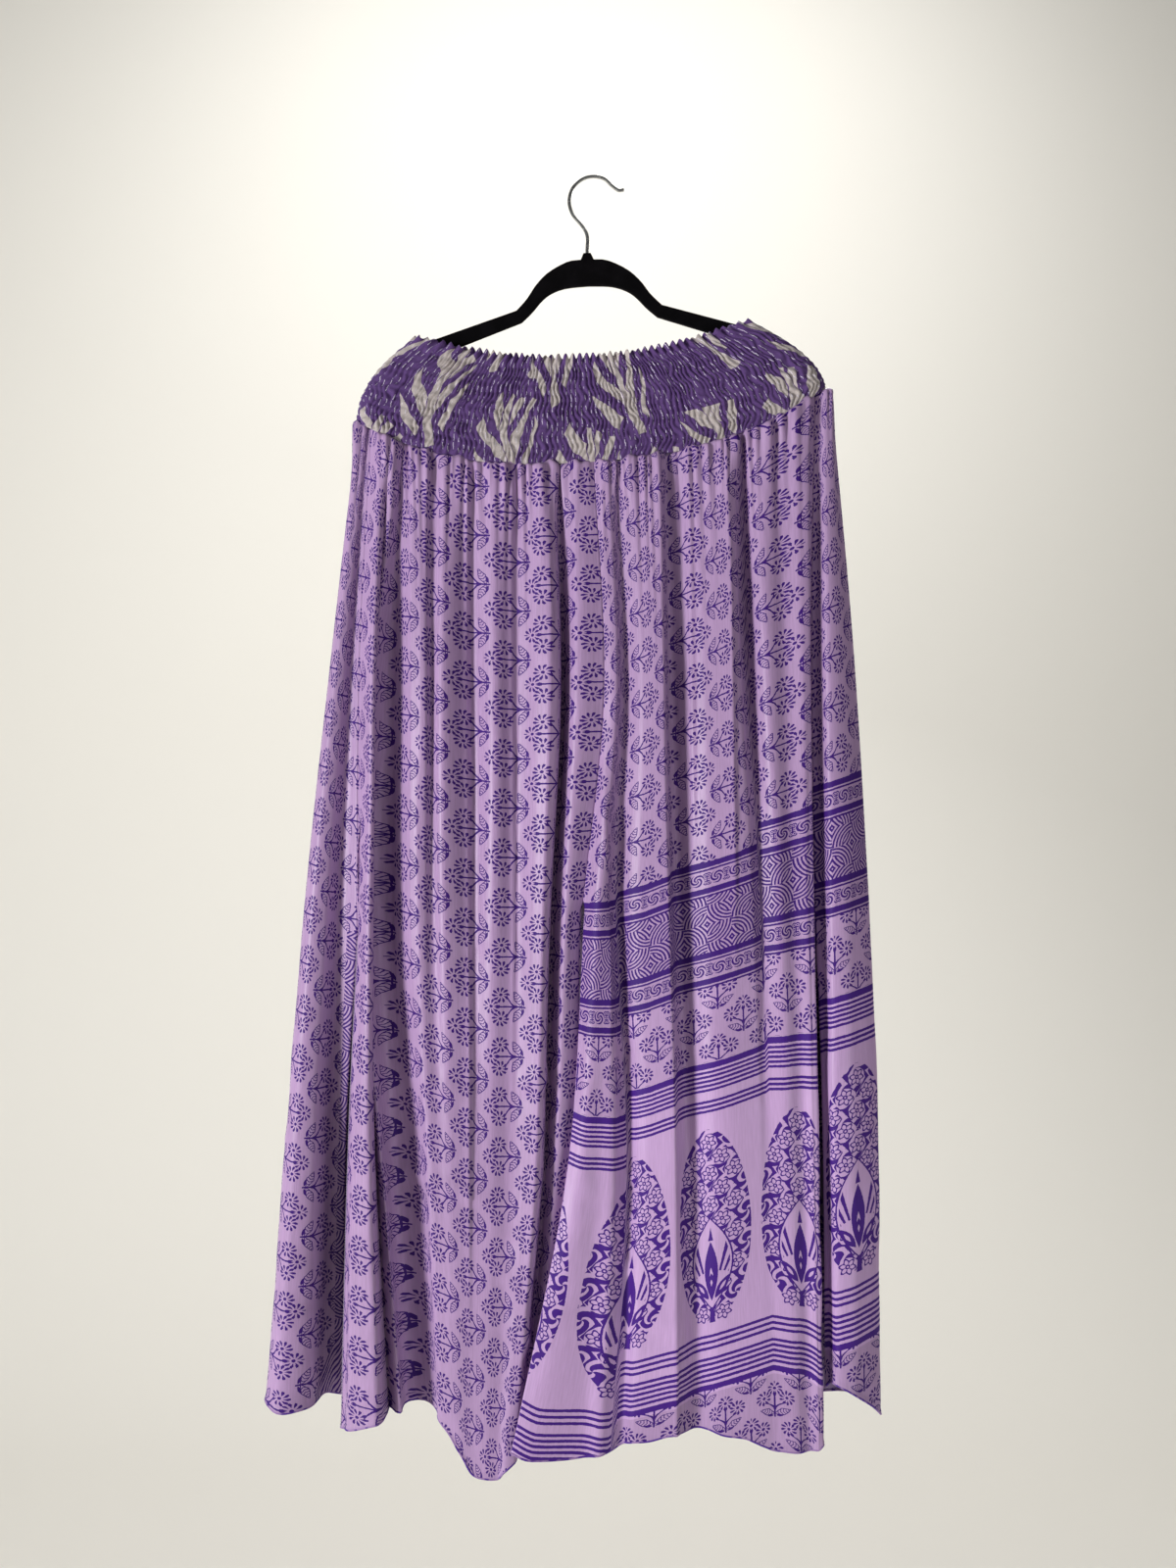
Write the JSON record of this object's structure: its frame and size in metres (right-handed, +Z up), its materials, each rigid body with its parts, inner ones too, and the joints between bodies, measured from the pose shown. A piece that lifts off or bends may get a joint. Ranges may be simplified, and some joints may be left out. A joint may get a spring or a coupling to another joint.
{
  "type": "butterfly pants on a flocked hanger",
  "caption": "Wide butterfly pants with a shirred waistband, gathered printed legs and open side slits, hung on a slim arched hanger.",
  "frame": {"origin": "inner top of the hanger's hook loop, where it bears on what carries it", "axes": "+Z up along the drop of the legs, +X to the viewer's right, -Y the front that is seen"},
  "size_m": [0.6147, 0.0916, 1.2897],
  "materials": {
    "printed_silk": "lilac silk with a soft sheen, block printed in deep violet",
    "shirred_band": "crinkled matt cloth shirred on elastic thread, muted purple and beige print",
    "black_flock": "moulded plastic covered in black velvet flock",
    "hook_wire": "bright plated steel wire"
  },
  "bodies": {
    "root": {"waistband_front": "shirred_band", "waistband_back": "shirred_band", "left_leg_front": "printed_silk", "left_leg_back": "printed_silk", "right_leg_front": "printed_silk", "right_leg_back": "printed_silk", "hanger_body": "black_flock", "hanger_hook": "hook_wire"}
  },
  "joints": []
}
